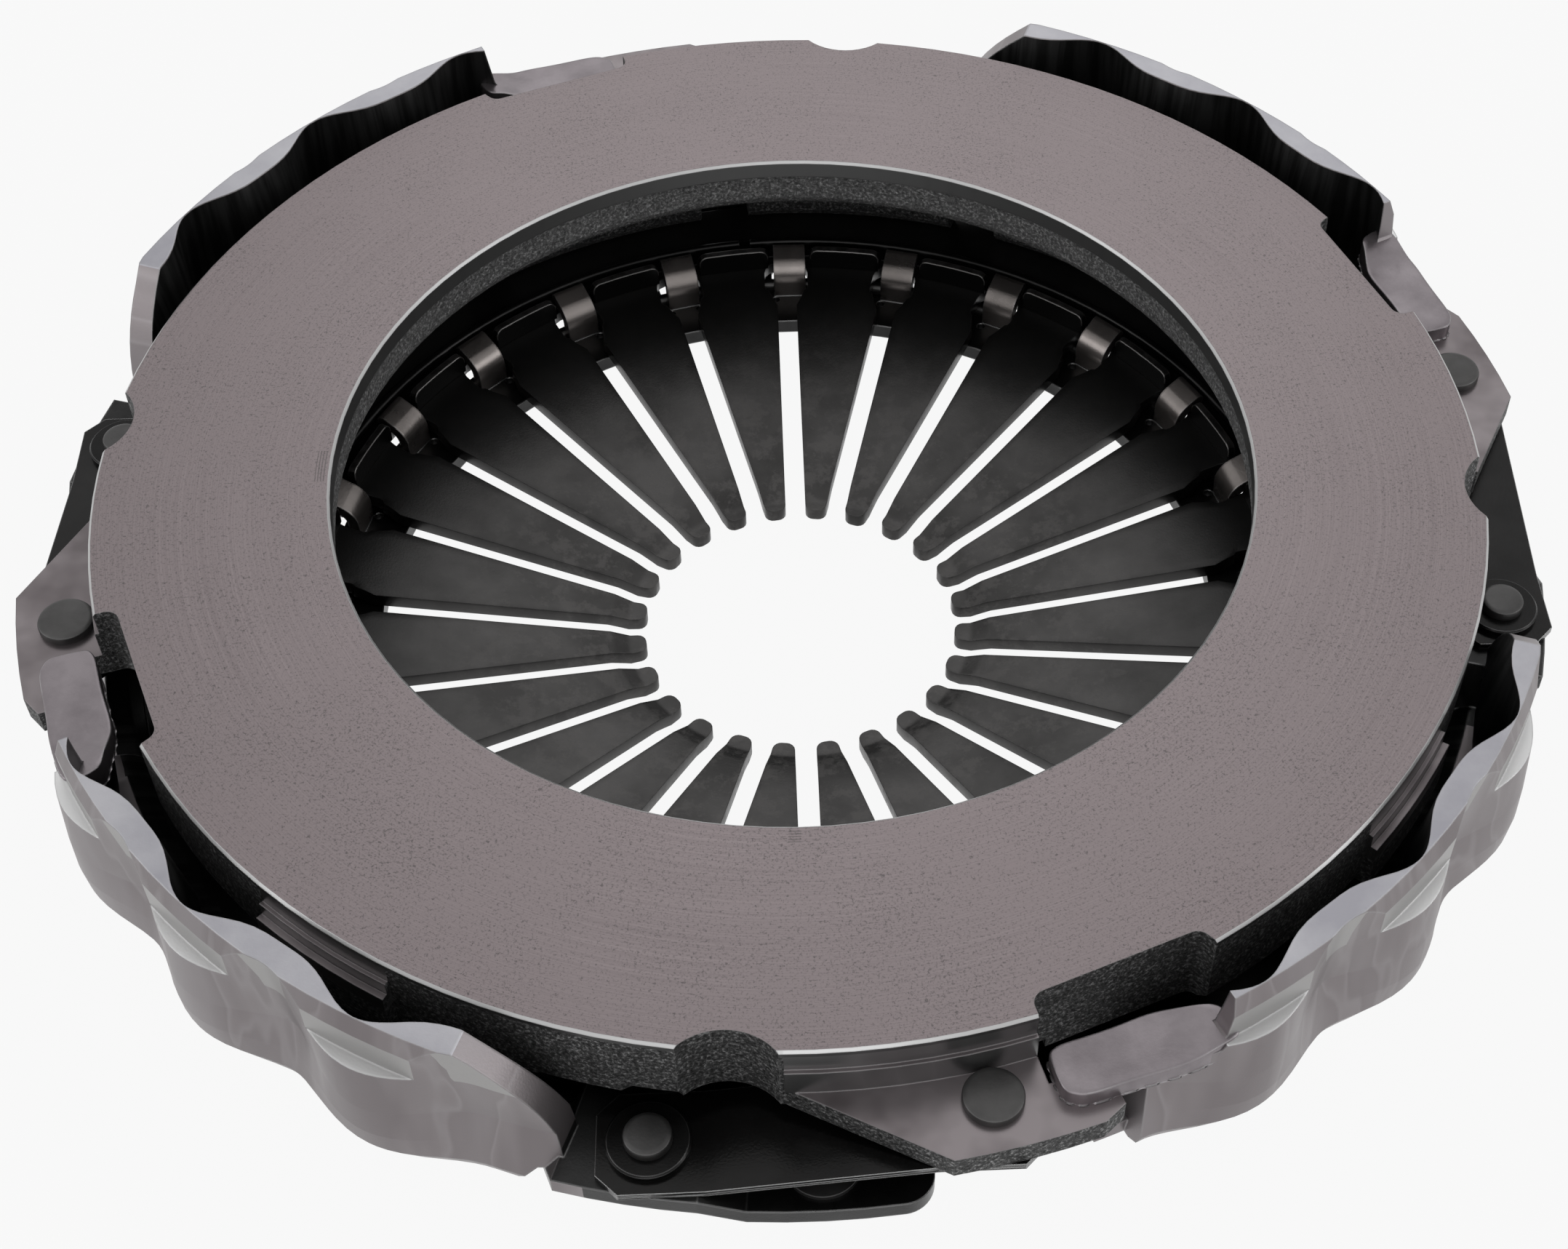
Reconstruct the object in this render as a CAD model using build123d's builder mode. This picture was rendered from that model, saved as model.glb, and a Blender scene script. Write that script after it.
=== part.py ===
from build123d import *
from math import cos, radians, sin, tan
import os

os.makedirs("parts", exist_ok=True)

# Push-type diaphragm-spring clutch pressure plate for a heavy vehicle.
# The axis is Z. The friction face lies at z = 0 and looks along +Z, towards the flywheel.
# Station 0 is at +X: one drive strap, one plate lug and one hold-back claw. The rest is its copies.

# Pattern
stations = 4
fingers = 24
station_pitch = 360 / stations
finger_pitch = 360 / fingers

# Cast plate
face_r = 216.0
bore_r = 144.0
face_chamfer = 0.8
bore_band = 6.5
bore_depth = 19.5
cast_step = 1.0
plate_depth = 30.0
ridge_inset = 2.5
ridge_width = 5.0
ridge_lip = 4.0
ridge_root = 6.0
throat_r = 148.0
ridge_gaps = 12
ridge_gap_width = 18.0
ridge_web = 6.0
cast_fillet = 3.0

# Lugs of the plate, which carry the drive straps
lug_top = -18.0
lug_thickness = 8.0
lug_margin = 0.9
lug_corner = 3.0
lug_start, lug_tip, lug_end, lug_side = -2.1, 8.4, 18.2, 19.9
scallop_r, scallop_out, scallop_az = 18.0, 11.5, -6.0
notch_in, notch_arm_out = 6.7, 10.0
notch_start, notch_end = 15.8, 29.7
notch_fillet = 4.0
lug_step, lug_step_z = 1.3, -8.5
pocket_in, pocket_start, pocket_end = 11.5, -20.0, 17.5
washer_pocket_z = -22.5
washer_room = 2.0
boss_start, boss_end = 46.7, 58.7
boss_steps = ((1.4, -8.0), (3.5, -12.5))
boss_overlap = 6.0

# Drive straps: a pack of leaves between a plate lug and a seat on the cover
strap_leaves = 3
leaf_thickness = 0.8
strap_width = 30.0
strap_out, strap_inset = 5.5, 19.1
strap_cover_t, strap_lug_t = -44.5, 46.5
strap_end = 14.0
strap_flat = 15.0
strap_corner = 6.0
strap_drill_below, strap_drill = 10.0, 30.0

# Rivets
shank_r = 4.8
lug_head_r, lug_head = 8.4, 3.0
cover_head_r, cover_head = 6.6, 3.2
washer_r, washer_thickness = 11.5, 2.3
tail_r, tail = 7.6, 3.2
lug_washer_r, lug_washer_thickness = 9.0, 1.2
balance_r, balance_head = 10.5, 1.6
balance_inset, balance_t = 13.9, 1.6
balance_station = 3

# Stamped cover
rim_z = 5.0
cover_sheet = 5.5
cover_back = -75.0
cover_bore_r = 138.5
pan_out, pan_knee_out = 7.0, 4.0
pan_flange_z = -48.0
pan_bend = 8.0
station_pan_out, station_knee_in = 6.0, 9.0
seat_start, seat_end = -17.0, -7.6
ledge_step, ledge_start, ledge_end = 1.3, -4.6, 7.8
seat_z = -36.2
ledge_z = -42.2
ledge_corner = 9.0
pan_ramp = 2.0
lug_gap_in = 4.0
web_angle = 1.6
web_foot = 3.0
lug_lap = 0.5
flange_lap = 8.0

# Wavy skirt: (z, inner valley, inner crest, outer valley, outer crest) from rim to foot,
# each as its distance beyond the friction face
flute_pitch = 15.0
skirt_start, skirt_end = 21.0, 75.0
skirt_rows = (
    (5.0, 10.8, 18.8, 18.2, 24.0),
    (-10.5, 8.6, 20.0, 16.8, 25.4),
    (-28.0, 6.0, 21.4, 15.4, 26.8),
    (-40.0, 7.6, 22.0, 18.0, 27.2),
    (-48.0, 9.0, 21.5, 19.6, 26.6),
)
foot_rows = (
    (-48.0, 5.0, 5.0, 19.6, 26.6),
    (-51.6, 5.0, 5.0, 18.4, 24.6),
    (-53.5, 5.0, 5.0, 15.0, 20.0),
)
last_valley_az = 67.5
inner_sharpness, outer_sharpness = 1.8, 0.8
pilot_out, pilot_chamfer = 21.1, 2.1
pilot_lead_z, pilot_foot_z = -1.0, -10.5

# Ends of a skirt, as (across, z) in the radial plane that cuts them
lead_az, trail_az = 70.0, 25.0
lead_sweep = ((-12.8, rim_z), (-1.6, -5), (6.2, -15), (11.5, -28), (14, -40))
lead_waste = ((6, -43), (-3, -55), (60, -60), (60, 20), (-12.8, 20))
trail_waste = ((11.5, 20), (11.5, rim_z), (9.5, -9), (6, -15), (-8, -15), (-14, -60), (-40, -60), (-40, 20))
cut_start, cut_depth = 200.0, 80.0

# Hold-back claws, bent inwards from the skirt over the lugs
claw_gap = 0.3
claw_sheet = 5.0
claw_out, claw_start = 3.4, 16.7
claw_inner_line = ((0.6, 24.2), (5.1, 26.4), (8.1, 27.6))
claw_outer_line = ((19.6, 27.4), (17.1, 24.0), (15.8, 21.5), (15.4, 18.2), (12.1, claw_start))
claw_corner = 4.0

# Diaphragm spring
spring_thickness = 5.0
spring_r = 187.0
spring_bore_r = 52.4
tip_top_z = -80.6
tip_drop = 2.6
spring_turn = 0.5
kink_outer_r, kink_inner_r = 64.0, 57.5
fulcrum_r = 157.0
slot_width = 7.0
slot_overrun, slot_lap = 12.0, 2.0
window_inner_r, window_outer_r, window_width = 147.5, 159.6, 16.0
window_fillet = 4.0
slot_inner_r, slot_outer_r = spring_bore_r - slot_overrun, window_inner_r + slot_lap
funnel_r, funnel_width = 140.5, 13.0
tip_fillet = 2.6

# Fulcrum rings and the tongues that hold them
fulcrum_wire_d = 4.8
fulcrum_groove = 0.8
wire_d = 3.0
running_gap = 0.2
seat_gap = 0.3
tongue_width = 11.8
tongue_thickness = 3.8
tongue_r = 154.3
tongue_bend_r = 6.5
tongue_turn = 65.0
tongue_reach = 4.6
lance_end_r = 173.0
lance_side = 0.9
relief_r, relief_n, relief_t = 1.4, 150.4, 5.4
ring_inner_r = 157.5
ring_foot_r = 170.0
ring_foot = 1.2
upstand = 2.6
upstand_top = -52.0
ring_notch = 15.6
ring_notch_r = 161.5
merlon_fillet = 3.0
wire_ring_r = 166.8
wire_split_az, wire_split = 95.0, 1.4

# Radii that follow from the friction face, the strap line and the spring
strap_n = face_r + strap_out
seat_r = strap_n + strap_inset
ledge_r = seat_r - ledge_step
lug_r = seat_r + lug_margin
balance_n = ledge_r - balance_inset
scallop_at = face_r + scallop_out
notch_r, notch_arm_r = face_r - notch_in, face_r + notch_arm_out
lug_step_r = face_r + lug_step
pocket_r = face_r - pocket_in
lug_gap_r = face_r - lug_gap_in
station_knee_r = face_r - station_knee_in
pan_knee_r = face_r + pan_knee_out
pilot_r = face_r + pilot_out
pilot_top_r = pilot_r - pilot_chamfer
claw_r = face_r + claw_out
ridge_r = spring_r - ridge_inset
pan_r = spring_r + pan_out
station_pan_r = spring_r + station_pan_out

# Levels that follow from the sizes above
cover_top = cover_back + cover_sheet
strap_pack = strap_leaves * leaf_thickness
lug_under = lug_top - lug_thickness
strap_seat_top = seat_z + strap_pack
fulcrum_under = cover_top - fulcrum_groove + fulcrum_wire_d + running_gap
fulcrum_top = fulcrum_under + spring_thickness
kink_z = tip_top_z + tip_drop
spring_slope = (fulcrum_top - kink_z) / (fulcrum_r - kink_outer_r)
plan_reach = 300.0


def polar(radius, angle):
    return radius * cos(radians(angle)), radius * sin(radians(angle))


def radial_plane(angle, distance=0.0):
    """Plane square to the radius at this angle: local x is tangential, local y is Z."""
    ahead = Vector(cos(radians(angle)), sin(radians(angle)), 0)
    across = Vector(-sin(radians(angle)), cos(radians(angle)), 0)
    return Plane(origin=ahead * distance, x_dir=across, z_dir=ahead)


def section_plane(angle):
    """Plane through the axis at this angle: local x is the radius, local y is Z."""
    ahead = Vector(cos(radians(angle)), sin(radians(angle)), 0)
    return Plane(origin=(0, 0, 0), x_dir=ahead, z_dir=(sin(radians(angle)), -cos(radians(angle)), 0))


def sector(inner, outer, start, end, z):
    """Ring sector at height z."""
    with BuildSketch(Plane.XY.offset(z)) as face:
        with BuildLine():
            CenterArc((0, 0), outer, start, end - start)
            CenterArc((0, 0), inner, start, end - start)
            Line(polar(inner, start), polar(outer, start))
            Line(polar(inner, end), polar(outer, end))
        make_face()
    return face.sketch


def spring_top(radius):
    return fulcrum_top + (radius - fulcrum_r) * spring_slope


def foot_top(radius):
    return spring_top(radius) + running_gap + ring_foot


ridge_z = spring_top(ridge_r + ridge_width / 2) + seat_gap


# ---------------------------------------------------------------- pressure plate
def plate_section():
    """Half section of the cast ring: friction face, bore, back and the ridge that the spring presses."""
    foot = ridge_r - ridge_width / 2
    heel = ridge_r + ridge_width / 2
    with BuildSketch(Plane.XZ) as face:
        with BuildLine():
            Polyline(
                (bore_r + face_chamfer, 0),
                (face_r - face_chamfer, 0),
                (face_r, -face_chamfer),
                (face_r, cast_fillet - plate_depth),
                (face_r - cast_fillet, -plate_depth),
                (heel + ridge_root, -plate_depth),
                (heel + cast_fillet, ridge_z + ridge_lip),
                (heel, ridge_z),
                (foot, ridge_z),
                (foot - cast_fillet, ridge_z + ridge_lip),
                (foot - ridge_root, -plate_depth),
                (throat_r, -bore_depth),
                (bore_r + cast_step + cast_fillet / 2, -bore_depth),
                (bore_r + cast_step, cast_fillet - bore_depth),
                (bore_r + cast_step, -bore_band),
                (bore_r, -bore_band),
                (bore_r, -face_chamfer),
                close=True,
            )
        make_face()
    return face.sketch


def lug_face():
    """Lug outline at station 0: slanted leading edge, round outer edge, arm beyond the claw notch."""
    with BuildSketch(Plane.XY.offset(lug_under)) as face:
        with BuildLine():
            Polyline(
                polar(lug_r, lug_tip),
                polar(face_r, lug_start),
                polar(notch_r, lug_start),
                polar(notch_r, notch_start),
                polar(notch_arm_r, notch_start),
                polar(notch_arm_r, lug_side),
                polar(lug_r - lug_corner, lug_side),
                polar(lug_r, lug_end),
            )
            CenterArc((0, 0), lug_r, lug_tip, lug_end - lug_tip)
        make_face()
    return face.sketch


def notch_face():
    """Notch that the hold-back claw reaches through, with rounded inner corners."""
    with BuildSketch(Plane.XY.offset(ridge_z)) as face:
        with BuildLine():
            Polyline(
                polar(notch_r, notch_start),
                polar(notch_arm_r, notch_start),
                polar(notch_arm_r, notch_end + 1),
                polar(notch_r + 1, notch_end),
                close=True,
            )
        make_face()
        inner = face.vertices().sort_by(SortBy.DISTANCE)[:2]
        fillet(inner, notch_fillet)
    return face.sketch


def lug_hole_plan(radius, z):
    with BuildSketch(Plane.XY.offset(z)) as holes:
        with PolarLocations(0, stations):
            with Locations((strap_n, strap_lug_t)):
                Circle(radius)
    return holes.sketch


def cover_hole_plan(radius, z):
    with BuildSketch(Plane.XY.offset(z)) as holes:
        with PolarLocations(0, stations):
            with Locations((strap_n, strap_cover_t)):
                Circle(radius)
    return holes.sketch


def ridge_gap():
    """Cooling gap through the ridge."""
    gap_depth = 2 * (-plate_depth - ridge_web - ridge_z)
    with BuildPart() as gap:
        with BuildSketch(radial_plane(finger_pitch / 2, ridge_r - 3 * ridge_width)):
            with Locations((0, ridge_z)):
                Rectangle(ridge_gap_width, gap_depth)
        extrude(amount=6 * ridge_width)
    return gap.part


def strap_pocket():
    """Room behind the lug for the strap, its washer and the scallop that bares the cover rivet."""
    with BuildPart() as pocket:
        room = sector(pocket_r, plan_reach, pocket_start, pocket_end, lug_under)
        extrude(room, amount=ridge_z - lug_under)
        with BuildSketch(Plane.XY.offset(washer_pocket_z)):
            with Locations((strap_n, strap_cover_t)):
                Circle(washer_r + washer_room)
        extrude(amount=-plate_depth)
        with BuildSketch(Plane.XY):
            with Locations(polar(scallop_at, scallop_az)):
                Circle(scallop_r)
        extrude(amount=-plate_depth)
    return pocket.part


def lug_solid():
    """Lug and the two turned steps of the balancing boss between the stations."""
    with BuildPart() as lug:
        extrude(lug_face(), amount=lug_thickness)
        ledge = sector(face_r - boss_overlap, lug_step_r, lug_start, notch_start, lug_top)
        extrude(ledge, amount=lug_step_z - lug_top)
        for step_out, step_z in boss_steps:
            step = sector(face_r - boss_overlap, face_r + step_out, boss_start, boss_end, -plate_depth)
            extrude(step, amount=plate_depth + step_z)
    return lug.part


def notch_solid():
    with BuildPart() as notch:
        extrude(notch_face(), amount=-ridge_z)
    return notch.part


with BuildPart() as plate:
    revolve(plate_section(), axis=Axis.Z)
    with PolarLocations(0, ridge_gaps):
        add(ridge_gap(), mode=Mode.SUBTRACT)
    with PolarLocations(0, stations):
        add(strap_pocket(), mode=Mode.SUBTRACT)
        add(lug_solid())
        add(notch_solid(), mode=Mode.SUBTRACT)
    extrude(lug_hole_plan(shank_r + running_gap, lug_under), amount=lug_thickness, mode=Mode.SUBTRACT)
plate.part.label = "pressure_plate"
export_step(plate.part, "parts/pressure_plate.step")


# ---------------------------------------------------------------- cover
def sheet_section(points, angle):
    """Section of a bent sheet at one angle, drawn by its upper line."""
    with BuildSketch(section_plane(angle)) as section:
        with BuildLine():
            FilletPolyline(*points, radius=pan_bend)
            offset(amount=cover_sheet, side=Side.RIGHT)
        make_face()
    return section.sketch


def sheet_sector(points, start, end):
    """Bent sheet swept round the axis between two angles."""
    with BuildPart() as sheet:
        revolve(sheet_section(points, start), axis=Axis.Z, revolution_arc=end - start)
    return sheet.part


def sheet_ramp(points, start, end_points, end):
    """Sheet that passes smoothly from one section to the next."""
    with BuildPart() as ramp:
        first = sheet_section(points, start).faces()[0]
        last = sheet_section(end_points, end).faces()[0]
        loft([first, last], ruled=True)
    return ramp.part


def web_sector(points, start):
    """Narrow solid wall that closes the step between two neighbouring pan shapes."""
    with BuildPart() as web:
        with BuildSketch(section_plane(start)):
            with BuildLine():
                Polyline(*points, close=True)
            make_face()
        revolve(axis=Axis.Z, revolution_arc=web_angle)
    return web.part


def wave(angle, valley, crest, sharpness):
    """Radius of the wave at an angle: past its last valley the skirt keeps to the valley."""
    swing = (1 + cos(radians(360 * min(angle, last_valley_az) / flute_pitch))) / 2
    return face_r + valley + (crest - valley) * swing**sharpness


def skirt_row(z, inner_valley, inner_crest, outer_valley, outer_crest):
    """Wavy skirt section at height z."""
    count = round((skirt_end - skirt_start) / flute_pitch * 8)
    angles = [skirt_start + (skirt_end - skirt_start) * i / count for i in range(count + 1)]
    inner = [polar(wave(a, inner_valley, inner_crest, inner_sharpness), a) for a in angles]
    outer = [polar(wave(a, outer_valley, outer_crest, outer_sharpness), a) for a in angles]
    with BuildSketch(Plane.XY.offset(z)) as face:
        with BuildLine():
            Spline(*inner)
            Spline(*outer)
            Line(inner[0], outer[0])
            Line(inner[-1], outer[-1])
        make_face()
    return face.sketch


def skirt_solid():
    """One wavy skirt with its turned pilot, swept leading edge and the stub that the claw grows from."""
    with BuildPart() as skirt:
        loft([skirt_row(*row).faces()[0] for row in skirt_rows], ruled=True)
        loft([skirt_row(*row).faces()[0] for row in foot_rows], ruled=True)
        with BuildSketch(Plane.XZ):
            with BuildLine():
                Polyline(
                    (pilot_top_r, rim_z + 1),
                    (pilot_top_r, rim_z),
                    (pilot_r, pilot_lead_z),
                    (pilot_r, pilot_foot_z),
                    (plan_reach, pilot_foot_z),
                    (plan_reach, rim_z + 1),
                    close=True,
                )
            make_face()
        revolve(axis=Axis.Z, mode=Mode.SUBTRACT)
        with BuildSketch(radial_plane(lead_az, cut_start)):
            with BuildLine():
                Spline(*lead_sweep)
                Polyline(lead_sweep[-1], *lead_waste, lead_sweep[0])
            make_face()
        extrude(amount=cut_depth, mode=Mode.SUBTRACT)
        with BuildSketch(radial_plane(trail_az, cut_start)):
            with BuildLine():
                Polyline(*trail_waste, close=True)
            make_face()
        extrude(amount=cut_depth, mode=Mode.SUBTRACT)
    return skirt.part


def claw_solid():
    """Tab bent from the skirt stub, lying just above the arm of the lug."""
    with BuildPart() as claw:
        with BuildSketch(Plane.XY.offset(lug_top + claw_gap)) as face:
            with BuildLine():
                outline = ((0, claw_start),) + claw_inner_line + claw_outer_line
                Polyline(*[polar(claw_r + out, angle) for out, angle in outline], close=True)
            make_face()
            fillet(face.vertices().sort_by(Axis.Y)[:2], claw_corner)
        extrude(amount=claw_sheet)
    return claw.part


def tongue_bend_z():
    """Height where the bend starts, so that the curled end just clears the foot of the support ring."""
    turn = radians(tongue_turn)
    half = tongue_thickness / 2
    under_r = tongue_r + tongue_bend_r * (1 - cos(turn)) + half * cos(turn)
    climb = (tongue_bend_r - half) * sin(turn) + (ring_notch_r - under_r) / tan(turn)
    return foot_top(ring_notch_r) + running_gap - climb


def tongue_solid():
    """Tongue bent up through a spring window and curled outwards over the support ring."""
    with BuildPart() as tongue:
        with BuildSketch(Plane.XZ):
            with BuildLine():
                rise = Line((tongue_r, cover_top - cover_sheet / 2), (tongue_r, tongue_bend_z()))
                curl = JernArc(rise @ 1, rise % 1, tongue_bend_r, -tongue_turn)
                Line(curl @ 1, curl @ 1 + (curl % 1) * tongue_reach)
                offset(amount=tongue_thickness / 2)
            make_face()
        extrude(amount=tongue_width / 2, both=True)
    return tongue.part


def lance_solid():
    """Hole in the cover that the tongue was cut from, with its two relief holes."""
    start = tongue_r + tongue_thickness / 2
    with BuildPart() as lance:
        with BuildSketch(Plane.XY.offset(cover_back - 1)):
            with Locations(((start + lance_end_r) / 2, 0)):
                RectangleRounded(lance_end_r - start, tongue_width + 2 * lance_side, 3)
            with Locations((relief_n, relief_t), (relief_n, -relief_t)):
                Circle(relief_r)
        extrude(amount=cover_sheet + 2)
    return lance.part


def cover_quarter_solid():
    """One quarter of the cover: pan and skirt, then the seat, the ledge and the gap under the lug."""
    rim = (cover_bore_r, cover_top)
    station_foot = (station_pan_r, cover_top)
    cone = (pan_flange_z - cover_top) / (pan_knee_r - pan_r)
    gap_end = (lug_gap_r, cover_top + (lug_gap_r - pan_r) * cone)
    flange_r = face_r + foot_rows[0][1] + flange_lap
    pan_line = [rim, (pan_r, cover_top), (pan_knee_r, pan_flange_z), (flange_r, pan_flange_z)]
    seat_line = [rim, station_foot, (station_knee_r, seat_z), (seat_r, seat_z)]
    ledge_line = [rim, station_foot, (station_knee_r, ledge_z), (ledge_r, ledge_z)]
    seat_az = station_pitch + seat_start
    with BuildPart() as quarter:
        add(sheet_sector(pan_line, lug_side - lug_lap, seat_az - pan_ramp))
        add(sheet_ramp(pan_line, seat_az - pan_ramp, seat_line, seat_az))
        add(sheet_sector([rim, (pan_r, cover_top), gap_end], ledge_end, lug_side - lug_lap))
        add(sheet_sector(seat_line, seat_start, seat_end))
        add(sheet_ramp(seat_line, seat_end, ledge_line, ledge_start))
        add(sheet_sector(ledge_line, ledge_start, ledge_end))
        web = [station_foot, (station_knee_r, ledge_z), (lug_gap_r, ledge_z)]
        web += [(lug_gap_r, gap_end[1] - cover_sheet), (pan_r + web_foot, cover_back)]
        add(web_sector(web, ledge_end - web_angle))
        add(skirt_solid())
        add(claw_solid())
        corner_y = polar(ledge_r, ledge_end)[1]
        edges = quarter.edges().filter_by(Axis.Z).filter_by_position(Axis.X, ledge_r - 12, ledge_r + 1)
        tip = [edge for edge in edges if abs(edge.center().Y - corner_y) < 2]
        fillet(tip, ledge_corner)
    return quarter.part


with BuildPart() as cover:
    with PolarLocations(0, stations):
        add(cover_quarter_solid())
    with PolarLocations(0, fingers):
        add(lance_solid(), mode=Mode.SUBTRACT)
        add(tongue_solid())
    with BuildSketch(Plane.XZ):
        with Locations((fulcrum_r, cover_top - fulcrum_groove + fulcrum_wire_d / 2)):
            Circle(fulcrum_wire_d / 2)
    revolve(axis=Axis.Z, mode=Mode.SUBTRACT)
    extrude(cover_hole_plan(shank_r + running_gap, seat_z - cover_sheet - 1), amount=cover_sheet + 2,
            mode=Mode.SUBTRACT)
cover.part.label = "cover"
export_step(cover.part, "parts/cover.step")


# ---------------------------------------------------------------- diaphragm spring
def funnel_face():
    """Taper between a window and its slot."""
    with BuildSketch() as funnel:
        with BuildLine():
            Polyline(
                (funnel_r, -slot_width / 2),
                (window_inner_r + 1, -funnel_width / 2),
                (window_inner_r + 1, funnel_width / 2),
                (funnel_r, slot_width / 2),
                close=True,
            )
        make_face()
    return funnel.sketch


with BuildPart() as spring:
    with BuildSketch(Plane.XZ):
        with BuildLine():
            outer_top = (spring_r, spring_top(spring_r))
            inner_top = (kink_outer_r, kink_z)
            Polyline(
                outer_top,
                inner_top,
                (kink_inner_r, tip_top_z),
                (spring_bore_r, tip_top_z),
                (spring_bore_r, tip_top_z - spring_thickness),
                (kink_inner_r, tip_top_z - spring_thickness),
                (kink_outer_r, kink_z - spring_thickness),
                (spring_r, spring_top(spring_r) - spring_thickness),
                close=True,
            )
        make_face()
    revolve(axis=Axis.Z)
    with BuildSketch(Plane.XY.offset(-plan_reach / 2)) as plan:
        Circle(spring_r)
        Circle(spring_bore_r, mode=Mode.SUBTRACT)
        with PolarLocations(0, fingers, start_angle=spring_turn):
            add(funnel_face(), mode=Mode.SUBTRACT)
            with Locations(((slot_inner_r + slot_outer_r) / 2, 0)):
                Rectangle(slot_outer_r - slot_inner_r, slot_width, mode=Mode.SUBTRACT)
            with Locations(((window_inner_r + window_outer_r) / 2, 0)):
                RectangleRounded(window_outer_r - window_inner_r, window_width, window_fillet,
                                 mode=Mode.SUBTRACT)
        tips = [v for v in plan.vertices() if Vector(v.X, v.Y, 0).length < spring_bore_r + 1]
        fillet(tips, tip_fillet)
    extrude(amount=plan_reach, mode=Mode.INTERSECT)
spring.part.label = "diaphragm_spring"
export_step(spring.part, "parts/diaphragm_spring.step")


# ---------------------------------------------------------------- fulcrum rings
def ring_gap():
    """Notch in the upstand and foot of the support ring that one tongue lies in."""
    side = ring_notch / 2
    floor = spring_top(ring_inner_r)
    shoulder = upstand_top - merlon_fillet
    flare = side + merlon_fillet
    with BuildPart() as gap:
        with BuildSketch(radial_plane(0, ring_inner_r - upstand)):
            with BuildLine():
                Polyline((0, floor), (side, floor), (side, shoulder))
                RadiusArc((side, shoulder), (flare, upstand_top), merlon_fillet)
                Polyline((flare, upstand_top), (flare, 0), (0, 0), (0, floor))
            make_face()
            mirror(about=Plane.YZ)
        extrude(amount=ring_notch_r - ring_inner_r + upstand)
    return gap.part


with BuildPart() as support_ring:
    with BuildSketch(Plane.XZ):
        with BuildLine():
            upstand_r = ring_inner_r + upstand
            Polyline(
                (ring_inner_r, foot_top(ring_inner_r) - ring_foot),
                (ring_foot_r, foot_top(ring_foot_r) - ring_foot),
                (ring_foot_r, foot_top(ring_foot_r)),
                (upstand_r, foot_top(upstand_r)),
                (upstand_r, upstand_top),
                (ring_inner_r, upstand_top),
                close=True,
            )
        make_face()
    revolve(axis=Axis.Z)
    with PolarLocations(0, fingers):
        add(ring_gap(), mode=Mode.SUBTRACT)
support_ring.part.label = "support_ring"
export_step(support_ring.part, "parts/support_ring.step")

with BuildPart() as rear_wire_ring:
    with BuildSketch(Plane.XZ):
        with Locations((fulcrum_r, cover_top - fulcrum_groove + fulcrum_wire_d / 2)):
            Circle(fulcrum_wire_d / 2 - running_gap / 2)
    revolve(axis=Axis.Z)
rear_wire_ring.part.label = "rear_wire_ring"
export_step(rear_wire_ring.part, "parts/rear_wire_ring.step")

with BuildPart() as front_wire_ring:
    with BuildSketch(section_plane(wire_split_az + wire_split)):
        with Locations((wire_ring_r, foot_top(wire_ring_r) + wire_d / 2 + running_gap)):
            Circle(wire_d / 2)
    revolve(axis=Axis.Z, revolution_arc=360 - wire_split)
front_wire_ring.part.label = "front_wire_ring"
export_step(front_wire_ring.part, "parts/front_wire_ring.step")


# ---------------------------------------------------------------- drive straps
def strap_leaf(station, leaf):
    """One spring-steel leaf with flat ends: the cover end lies lower than the lug end."""
    top_cover = strap_seat_top - leaf * leaf_thickness
    top_lug = lug_under - leaf * leaf_thickness
    cover_end, lug_end_t = strap_cover_t - strap_end, strap_lug_t + strap_end
    slope_start, slope_end = strap_cover_t + strap_flat, strap_lug_t - strap_flat
    angle = station * station_pitch
    with BuildPart() as blade:
        with BuildSketch(radial_plane(angle, strap_n - strap_width / 2)):
            with BuildLine():
                Polyline(
                    (cover_end, top_cover),
                    (slope_start, top_cover),
                    (slope_end, top_lug),
                    (lug_end_t, top_lug),
                    (lug_end_t, top_lug - leaf_thickness),
                    (slope_end, top_lug - leaf_thickness),
                    (slope_start, top_cover - leaf_thickness),
                    (cover_end, top_cover - leaf_thickness),
                    close=True,
                )
            make_face()
        extrude(amount=strap_width)
        chamfer(blade.edges().filter_by(Axis.Z), strap_corner)
        with BuildSketch(Plane.XY.rotated((0, 0, angle)).offset(strap_seat_top - strap_drill_below)):
            with Locations((strap_n, strap_cover_t), (strap_n, strap_lug_t)):
                Circle(shank_r + running_gap)
        extrude(amount=strap_drill, mode=Mode.SUBTRACT)
    return blade.part


for station in range(stations):
    for leaf in range(strap_leaves):
        name = f"strap_{station + 1}_leaf_{leaf + 1}"
        strap = strap_leaf(station, leaf)
        strap.label = name
        export_step(strap, f"parts/{name}.step")


# ---------------------------------------------------------------- rivets and washers
lug_tail_top = lug_under - strap_pack - lug_washer_thickness
with BuildPart() as lug_rivets:
    extrude(lug_hole_plan(lug_head_r, lug_top), amount=lug_head)
    extrude(lug_hole_plan(shank_r, lug_tail_top), amount=lug_top - lug_tail_top)
    extrude(lug_hole_plan(tail_r, lug_tail_top), amount=-tail)
lug_rivets.part.label = "lug_rivets"
export_step(lug_rivets.part, "parts/lug_rivets.step")

with BuildPart() as lug_washers:
    extrude(lug_hole_plan(lug_washer_r, lug_tail_top), amount=lug_washer_thickness)
    extrude(lug_hole_plan(shank_r + running_gap, lug_tail_top), amount=lug_washer_thickness,
            mode=Mode.SUBTRACT)
lug_washers.part.label = "lug_washers"
export_step(lug_washers.part, "parts/lug_washers.step")

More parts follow.
